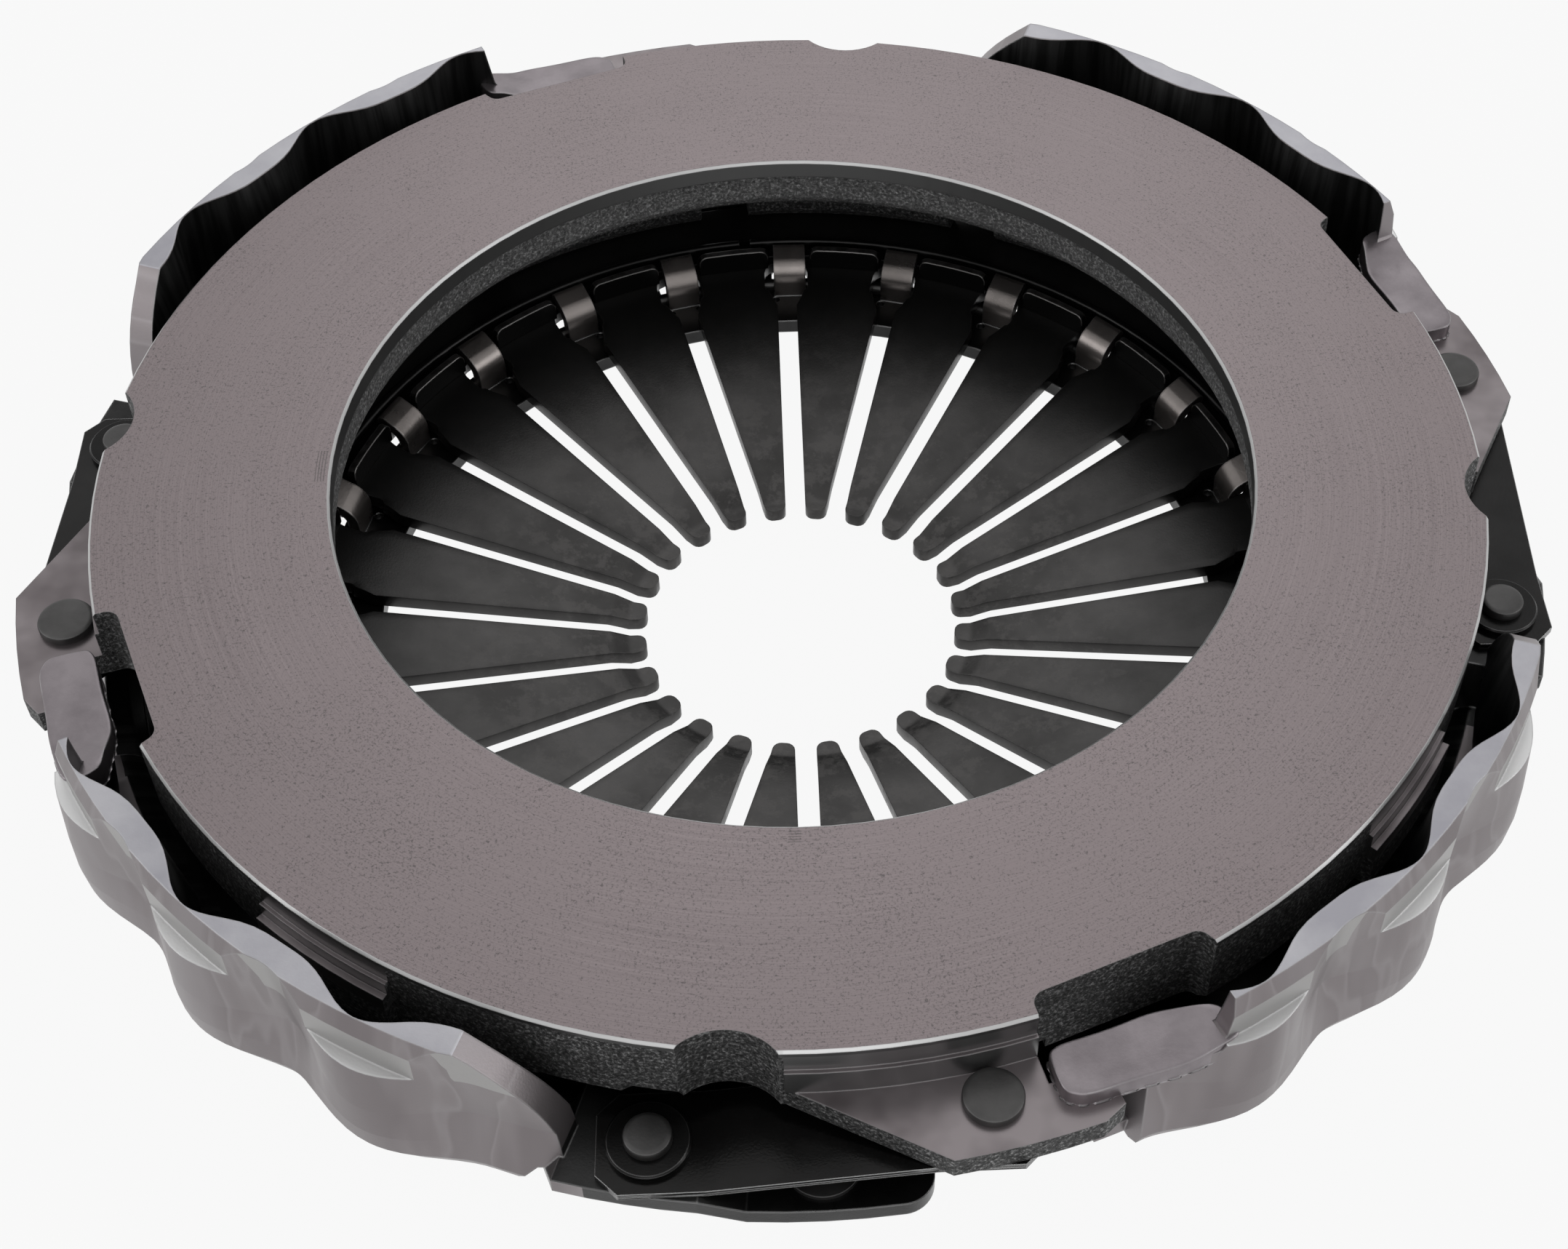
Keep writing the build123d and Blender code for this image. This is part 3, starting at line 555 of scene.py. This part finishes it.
# The tops of the upstands are painted lighter, as lit, and their top edges get a painted highlight.
lit_top_face = upstand_steel.both(upstand_steel.above(upstand_steel.height, -0.0535), upstand_steel.above(upstand_steel.up, 0.7))
tone = upstand_steel.ramp(upstand_steel.noise(180, 4), (0.4, grey(0.045, 0.04)), (0.6, grey(0.10, 0.04)))
colour = upstand_steel.mix(lit_top_face, grey(0.010), tone)
edge, soft_normal = upstand_steel.edges(0.7 * MM)
highlit_top_edge = upstand_steel.both(edge, upstand_steel.above(upstand_steel.height, -0.0560))
colour = upstand_steel.mix(highlit_top_edge, colour, grey(0.22, 0.03))
rough = upstand_steel.math("MULTIPLY_ADD", lit_top_face, 0.08, 0.28)
upstand_finish = upstand_steel.close(colour, rough, upstand_steel.noise(900, 2), 0.04 * MM, soft_normal)
print("finishes:", len(bpy.data.materials))

# %% [markdown]
# ## Finishes of the CAD nodes
# Each node of the CAD model is one piece of the real assembly and of one material, so it needs
# one finish only. A table from node to finish is easier to read and to change than a line for
# each. The twelve strap leaves aren't in the table, and get the straps' finish.

# %% Give the CAD nodes their finishes
node_finish = {"pressure_plate": iron_finish, "cover": cover_finish,
               "diaphragm_spring": spring_finish, "support_ring": upstand_finish,
               "rear_wire_ring": wire_finish, "front_wire_ring": ring_finish,
               "lug_rivets": rivet_finish, "cover_rivets": rivet_finish,
               "balance_rivet": rivet_finish, "lug_washers": washer_finish,
               "cover_washers": washer_finish}
for name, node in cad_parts.items():
    for slot in node.material_slots:
        slot.material = node_finish.get(name, strap_finish)
print("nodes in the table:", len(node_finish), "with the strap's finish:",
      len(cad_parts) - len(node_finish))

# %% [markdown]
# ## Copies round the axis
# The spring has 24 equal fingers, and each fastener comes four times. Geometry Nodes are made
# for this: one finger or one rivet is drawn, and a tree sets copies of it round Z, joins the
# seams and gives the finish. The same tree serves every piece that repeats.

# %% Inputs of the tree that repeats a piece round the axis
def add_input(tree, name, kind, default=None):
    """Adds an input to a tree, and says by what name a modifier knows it."""
    item = tree.interface.new_socket(name=name, in_out="INPUT", socket_type=kind)
    if default is not None:
        item.default_value = default
    return item.identifier


seam_width = 0.02 * MM
repeat_round = bpy.data.node_groups.new("repeat_round", "GeometryNodeTree")
add_input(repeat_round, "Geometry", "NodeSocketGeometry")
count_input = add_input(repeat_round, "Count", "NodeSocketInt", 4)
add_input(repeat_round, "Seam", "NodeSocketFloat", seam_width)
finish_input = add_input(repeat_round, "Finish", "NodeSocketMaterial")
repeat_round.interface.new_socket(name="Geometry", in_out="OUTPUT",
                                  socket_type="NodeSocketGeometry")
print("inputs and outputs:", [item.name for item in repeat_round.interface.items_tree])

# %% Nodes and links of the tree
add_node = repeat_round.nodes.new
join = repeat_round.links.new
given = add_node("NodeGroupInput")
points = add_node("GeometryNodePoints")
place = add_node("GeometryNodeInstanceOnPoints")
index = add_node("GeometryNodeInputIndex")
angle = add_node("ShaderNodeMath")
angle.operation = "MULTIPLY"
step = add_node("ShaderNodeMath")
step.operation = "DIVIDE"
step.inputs[0].default_value = 2 * pi
spin = add_node("ShaderNodeCombineXYZ")
real = add_node("GeometryNodeRealizeInstances")
weld = add_node("GeometryNodeMergeByDistance")
paint = add_node("GeometryNodeSetMaterial")
join(given.outputs["Count"], points.inputs["Count"])
join(given.outputs["Count"], step.inputs[1])
join(index.outputs[0], angle.inputs[0])
join(step.outputs[0], angle.inputs[1])
join(angle.outputs[0], spin.inputs["Z"])
join(points.outputs[0], place.inputs["Points"])
join(given.outputs["Geometry"], place.inputs["Instance"])
join(spin.outputs[0], place.inputs["Rotation"])
join(place.outputs[0], real.inputs[0])
join(real.outputs[0], weld.inputs["Geometry"])
join(given.outputs["Seam"], weld.inputs["Distance"])
join(weld.outputs[0], paint.inputs["Geometry"])
join(given.outputs["Finish"], paint.inputs["Material"])
join(paint.outputs[0], add_node("NodeGroupOutput").inputs[0])
print("nodes in the tree:", len(repeat_round.nodes))


# %% Turn one drawn piece into a finished ring of copies
sharp_angle = 32


def set_round(name, mesh, count, finish, wall=0.0, edge=0.0, edge_angle=40):
    """Repeats a mesh round Z, gives a sheet its wall and softens its edges, as a plain object."""
    draft = bpy.data.objects.new(name + "_draft", mesh)
    scene.collection.objects.link(draft)
    copies = draft.modifiers.new("copies", "NODES")
    copies.node_group = repeat_round
    copies[count_input] = count
    copies[finish_input] = finish
    if wall:
        thicken = draft.modifiers.new("wall", "SOLIDIFY")
        thicken.thickness = wall
        thicken.offset = -1
        thicken.use_even_offset = True
    if edge:
        soften = draft.modifiers.new("edge", "BEVEL")
        soften.width = edge
        soften.segments = 3
        soften.limit_method = "ANGLE"
        soften.angle_limit = radians(edge_angle)
    evaluated = draft.evaluated_get(bpy.context.evaluated_depsgraph_get())
    result = bpy.data.meshes.new_from_object(evaluated)
    bpy.data.objects.remove(draft)
    result.name = name
    piece = bpy.data.objects.new(name, result)
    scene.collection.objects.link(piece)
    result.set_sharp_from_angle(angle=radians(sharp_angle))
    result.polygons.foreach_set("use_smooth", [True] * len(result.polygons))
    print(name, "copies:", count, "faces:", len(result.polygons))
    return piece


# %% From points to a mesh that is right side out
def mesh_of(name, points, faces):
    """A mesh from points in millimetres."""
    mesh = bpy.data.meshes.new(name)
    mesh.from_pydata([tuple(value * MM for value in point) for point in points], [], faces)
    mesh.validate()
    return mesh


def at(radius, degrees, height):
    return (radius * cos(radians(degrees)), radius * sin(radians(degrees)), height)


def grid_faces(rows, across, first=0):
    """Faces between rows of points, counted from the first point of the grid."""
    faces = []
    for row in range(rows - 1):
        for i in range(across - 1):
            a = first + row * across + i
            faces.append((a, a + across, a + across + 1, a + 1))
    return faces


def outward_faces(piece):
    """Turns every face outwards, and prints the volume and how many edges are open."""
    work = bmesh.new()
    work.from_mesh(piece.data)
    bmesh.ops.recalc_face_normals(work, faces=work.faces)
    work.to_mesh(piece.data)
    print(piece.name, "volume, cm3:", round(work.calc_volume() * 1e6, 2),
          "open edges:", sum(edge.is_boundary for edge in work.edges))
    work.free()


# %% [markdown]
# ## The diaphragm spring
# A cone of hardened steel, cut into fingers by slots that open into rounded windows under the
# tongues. The finger tips are bent flat for the release bearing. One finger's top face is drawn
# as rows of points from the tip outwards, each row as wide as the slot lets it be. Solidify
# gives it its thickness and Bevel the tumbled edges that catch the light.

# %% Sizes of the spring
finger_count = 24
pitch = 360 / finger_count
spring_turn = 0.5
thickness, tumbled_edge = 5.0, 0.8
tip_r, tip_flat_r, kink_r, rim_r = 52.4, 57.5, 64.0, 187.0
tip_z, kink_z = -80.6, -78.0
fulcrum_r, fulcrum_z = 157.0, -60.3
slot_half, tip_corner = 3.5, 2.6
funnel_r, flare_r, flare_half = 140.5, 144.0, 5.2
window_in, window_in_half, window_out, window_half, window_corner = 147.5, 6.6, 159.6, 8.0, 4.0
slope = (fulcrum_z - kink_z) / (fulcrum_r - kink_r)


def spring_height(radius):
    """Height of the top face: level at the tip, bent up, and then a straight cone."""
    if radius <= tip_flat_r:
        return tip_z
    if radius <= kink_r:
        return tip_z + (kink_z - tip_z) * (radius - tip_flat_r) / (kink_r - tip_flat_r)
    return kink_z + (radius - kink_r) * slope


print("cone rises, mm:", round(spring_height(rim_r) - kink_z, 1))

# %% Rows along one finger, each a radius and half the gap there
finger_rows = []
for quarter in (0, 22.5, 45, 67.5, 90):
    bend = radians(quarter)
    finger_rows.append((tip_r + tip_corner * (1 - cos(bend)),
                        slot_half + tip_corner * (1 - sin(bend))))
for radius in (tip_flat_r, 59, 61, 62.5, kink_r, 76, 92, 108, 124, funnel_r):
    finger_rows.append((radius, slot_half))
finger_rows += [(flare_r, flare_half), (window_in, window_in_half),
                (window_in + 0.7, window_half - 0.4), (window_in + 2, window_half)]
for quarter in (0, 30, 60, 90):
    bend = radians(quarter)
    finger_rows.append((window_out - window_corner * (1 - sin(bend)),
                        window_half - window_corner * (1 - cos(bend))))
ring_rows = [window_out, 164.0, 170.0, 176.0, 182.0, rim_r]
print("rows of a finger and of the rim:", len(finger_rows), len(ring_rows))

# %% Draw one finger
columns = 9
wide = columns + 2


def row_angles(radius, gap):
    """Angles across one finger, from slot edge to slot edge."""
    cut = asin(gap / radius) * 180 / pi
    return [spring_turn + cut + (pitch - 2 * cut) * i / (columns - 1) for i in range(columns)]


points = []
for radius, gap in finger_rows:
    points += [at(radius, a, spring_height(radius)) for a in row_angles(radius, gap)]
faces = grid_faces(len(finger_rows), columns)
first_ring = len(points)
rim_angles = [spring_turn] + row_angles(*finger_rows[-1]) + [spring_turn + pitch]
for radius in ring_rows:
    points += [at(radius, a, spring_height(radius)) for a in rim_angles]
faces += grid_faces(len(ring_rows), wide, first_ring)
finger = mesh_of("finger", points, faces)
print("faces of one finger:", len(finger.polygons))

# %% Set the fingers round and give the spring its thickness
spring = set_round("spring_fingers", finger, finger_count, spring_finish,
                   thickness * MM, tumbled_edge * MM)
outward_faces(spring)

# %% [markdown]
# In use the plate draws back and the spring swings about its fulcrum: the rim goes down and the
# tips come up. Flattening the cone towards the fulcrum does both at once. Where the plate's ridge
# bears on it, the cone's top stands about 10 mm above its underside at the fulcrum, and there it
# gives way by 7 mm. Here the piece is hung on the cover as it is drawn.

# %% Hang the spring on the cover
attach(spring, "cover")
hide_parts("diaphragm_spring")
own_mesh(spring)

# %% [markdown]
# ## Rivets and washers
# Each rivet is a turned form, so its half profile is drawn and spun round its own axis, and the
# tree above sets it at the four stations. A head has a flat crown and a soft shoulder, and the
# closed end under the sheet is a flatter button.

# %% Draw a turned form beside the axis
def turned_form(name, profile, centre, steps=48):
    """Spins a closed half profile of (radius, height) round the point at centre."""
    points = []
    for step_number in range(steps):
        way = 2 * pi * step_number / steps
        points += [(centre[0] + r * cos(way), centre[1] + r * sin(way), z) for r, z in profile]
    size = len(profile)
    faces = []
    for step_number in range(steps):
        here, there = step_number * size, (step_number + 1) % steps * size
        for i in range(size):
            k = (i + 1) % size
            faces.append((here + i, there + i, there + k, here + k))
    return mesh_of(name, points, faces)


# %% Half profile of a rivet
def rivet_profile(head_r, head_foot, head_top, shank_r, tail_r, tail_top, tail_foot):
    """Head, shank and tail. A thin core stays open at the axis, so that the form is one shell."""
    core = 0.02
    tail = [(core, tail_foot), (tail_r - 0.8, tail_foot), (tail_r, tail_foot + 0.9),
            (tail_r, tail_top)]
    shank = [(shank_r, tail_top), (shank_r, head_foot)]
    head = [(head_r, head_foot), (head_r, head_top - 1.0), (head_r - 0.25, head_top - 0.45),
            (head_r - 0.9, head_top - 0.1), (head_r - 1.6, head_top), (core, head_top)]
    return tail + shank + head


# %% Where the rivets and washers sit
seat_z, lug_top, lug_under = -36.2, -18.0, -26.0
pack_thickness, lug_washer_t, cover_washer_t = 2.4, 1.2, 2.3
lug_tail_top = lug_under - pack_thickness - lug_washer_t
seat_top = seat_z + pack_thickness
washer_top = seat_top + cover_washer_t
seat_r, strap_inset = 240.6, 19.1
strap_line = seat_r - strap_inset
lug_place, seat_place = (strap_line, 46.5), (strap_line, -44.5)
print("rivets of the first station at, mm:", lug_place, seat_place)

# %% Their half profiles
shank_r, tail_r, tail_t = 4.8, 7.6, 3.2
lug_head_r, lug_head_t, seat_head_r, seat_head_t = 8.4, 3.0, 6.6, 3.2
seat_tail_top, seat_tail_foot = seat_z - 5.5, seat_z - 8.7
washer_bore_r, washer_r = 5.0, 11.5
lug_profile = rivet_profile(lug_head_r, lug_top, lug_top + lug_head_t, shank_r,
                            tail_r, lug_tail_top, lug_tail_top - tail_t)
seat_profile = rivet_profile(seat_head_r, washer_top, washer_top + seat_head_t, shank_r,
                             tail_r, seat_tail_top, seat_tail_foot)
washer_profile = [(washer_bore_r, seat_top), (washer_r, seat_top), (washer_r, washer_top - 0.5),
                  (washer_r - 0.5, washer_top), (washer_bore_r + 0.4, washer_top),
                  (washer_bore_r, washer_top - 0.4)]
print("points of the profiles:", len(lug_profile), len(seat_profile), len(washer_profile))

# %% Spin them and set them round
stations = 4
fasteners = (
    ("lug_rivet_heads", lug_profile, lug_place, rivet_finish, "lug_rivets", "plate"),
    ("seat_rivet_heads", seat_profile, seat_place, rivet_finish, "cover_rivets", "cover"),
    ("seat_washers", washer_profile, seat_place, washer_finish, "cover_washers", "cover"))
for name, profile, centre, shade, node, body in fasteners:
    piece = set_round(name, turned_form(name, profile, centre), stations, shade)
    outward_faces(piece)
    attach(piece, body)
    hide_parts(node)

# %% [markdown]
# ## Drive straps
# Three thin leaves lie on each other between a seat on the cover and a lug of the plate. Their
# shape is right in the CAD model, but its leaves are rigid and the real ones flex. The leaves of
# the first station are copied, welded and repeated round the axis by the same tree.

# %% Copy the leaves of one station and repeat them
leaves = bmesh.new()
for leaf in (1, 2, 3):
    leaves.from_mesh(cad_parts[f"strap_1_leaf_{leaf}"].data)
bmesh.ops.remove_doubles(leaves, verts=leaves.verts, dist=0.005 * MM)
bmesh.ops.dissolve_limit(leaves, angle_limit=radians(1), verts=leaves.verts, edges=leaves.edges)
one_pack = bpy.data.meshes.new("strap_pack")
leaves.to_mesh(one_pack)
leaves.free()
straps = set_round("drive_straps", one_pack, stations, strap_finish)

# %% Hang the straps between their seats and the lugs
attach(straps, "cover")
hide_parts(*[f"strap_{station}_leaf_{leaf}"
                      for station in (1, 2, 3, 4) for leaf in (1, 2, 3)])
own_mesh(straps)

# %% [markdown]
# ## The sheet under each lug
# Under a lug the cover's sheet rises a little further out than the CAD model's does, and it
# closes the view from the claw's notch to the floor. It is one bent sheet, four times. So one
# sector is drawn by its upper face, the tree repeats it, and Solidify gives it the cover's
# thickness.

# %% Continue the sheet under the lugs
def sheet_rows(radii, start, end, height_of, across=9):
    """A grid of points on rings between two angles, and its faces."""
    bearings = [start + (end - start) * i / (across - 1) for i in range(across)]
    points = [at(radius, bearing, height_of(radius)) for radius in radii for bearing in bearings]
    return points, grid_faces(len(radii), across)


cover_top, pan_r, pan_knee_r, pan_flange_z = -69.5, 194.0, 220.0, -48.0
pan_slope = (pan_flange_z - cover_top) / (pan_knee_r - pan_r)
lip_start_r, lip_step, lip_rows = 212.05, 0.5, 22
lip_bend_r, lip_slope, lip_from, lip_to = 216, 0.35, 8.1, 19.3
lip_wall, lip_edge = 5.4, 1.0


def lip_height(radius):
    """The pan's slope as far as the bend, and a gentler one beyond it."""
    sloping = cover_top + (min(radius, lip_bend_r) - pan_r) * pan_slope
    return sloping + max(radius - lip_bend_r, 0) * lip_slope


lip_radii = [lip_start_r + lip_step * i for i in range(lip_rows)]
points, faces = sheet_rows(lip_radii, lip_from, lip_to, lip_height)
lip = set_round("cover_sheet_lip", mesh_of("lip", points, faces), stations, cover_finish,
                lip_wall * MM, lip_edge * MM)
outward_faces(lip)
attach(lip, "cover")

# %% [markdown]
# ## Hold-back claws
# A claw is a tab bent in from the end of a skirt, lying just over the lug so that the plate can't
# come off. Pressing leaves it soft at every edge and folded where it turns. It is modelled as a
# slab from one smooth outline, a hair larger than the plain one in the CAD model that it
# covers, lifted where the fold runs into the skirt, and its edges are rounded with Bevel. Bevel
# leaves small openings along the edge of the underside, just over the lug, because the base's
# faces are wound as the top's are. Wound the other way, that edge would close.

# %% Round off an outline
def rounded_outline(corners, passes=3):
    """Cuts the corners of a closed outline again and again, so that it turns smoothly."""
    near, far = 0.8, 0.2
    for _ in range(passes):
        softer = []
        for here, there in zip(corners, corners[1:] + corners[:1]):
            softer.append(tuple(near * a + far * b for a, b in zip(here, there)))
            softer.append(tuple(far * a + near * b for a, b in zip(here, there)))
        corners = softer
    return corners


def flat(radius, degrees):
    return at(radius, degrees, 0)[:2]


claw_corners = [flat(218.7, 16.25), flat(219.2, 20.5), flat(219.5, 24.6), flat(223.9, 26.8),
                flat(227.0, 28.3), flat(233.0, 28.6), flat(238.6, 28.2), flat(237.6, 24.0),
                flat(236.0, 21.2), flat(235.6, 17.4), flat(232.4, 16.15), flat(226.0, 16.1)]
claw_outline = rounded_outline(claw_corners)
print("points of the claw's outline:", len(claw_outline))

# %% Base and top of a claw
claw_base, claw_top = -17.85, -12.3
fold_start, fold_span, fold_rise = 24.6, 3.0, 2.6
insets = (0, 0.12, 0.3, 0.5, 0.7, 0.88)


def fold_lift(x, y):
    """How far the top is lifted where the fold runs into the skirt."""
    bearing = Vector((x, y)).angle_signed(Vector((1, 0))) * 180 / pi
    along = min(max((bearing - fold_start) / fold_span, 0), 1)
    return fold_rise * along * along * (3 - 2 * along)


def claw_points(outline):
    """Rings from the outline to its middle, and the middle itself, for the base and the top."""
    count = len(outline)
    middle = (sum(x for x, _ in outline) / count, sum(y for _, y in outline) / count)
    points = []
    for level in (claw_base, claw_top):
        for inset in insets:
            for x, y in outline:
                px, py = x + (middle[0] - x) * inset, y + (middle[1] - y) * inset
                lift = fold_lift(px, py) if level == claw_top else 0.0
                points.append((px, py, level + lift))
        points.append((*middle, level))
    return points


# %% Faces of a claw
def claw_faces(count):
    """The base and the top, each rings round a fan, and the wall between their outlines."""
    rings = len(insets)
    block = rings * count + 1
    faces = []
    for side in (0, block):
        for ring in range(rings - 1):
            for i in range(count):
                a, b = side + ring * count + i, side + ring * count + (i + 1) % count
                faces.append((a, b, b + count, a + count))
        last = side + (rings - 1) * count
        for i in range(count):
            faces.append((last + i, last + (i + 1) % count, side + rings * count))
    for i in range(count):
        faces.append((i, (i + 1) % count, block + (i + 1) % count, block + i))
    return faces


claw = mesh_of("claw", claw_points(claw_outline), claw_faces(len(claw_outline)))
print("faces of one claw:", len(claw.polygons))

# %% Set the claws round and hang them on the cover
claw_edge, claw_edge_angle = 0.9, 50
claws = set_round("hold_back_claws", claw, stations, claw_finish,
                  edge=claw_edge * MM, edge_angle=claw_edge_angle)
outward_faces(claws)
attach(claws, "cover")

# %% [markdown]
# ## Sizes
# The box round the CAD model was measured before anything was added, and the box round what is
# shown is measured now. Both are printed, so that a piece that outgrew the part would be seen at
# once.

# %% Print both boxes
visual_box = [list(corner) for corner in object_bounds()]
for label, box in (("CAD box, mm:", cad_box), ("visual box, mm:", visual_box)):
    print(label, [[round(value / MM, 1) for value in corner] for corner in box])
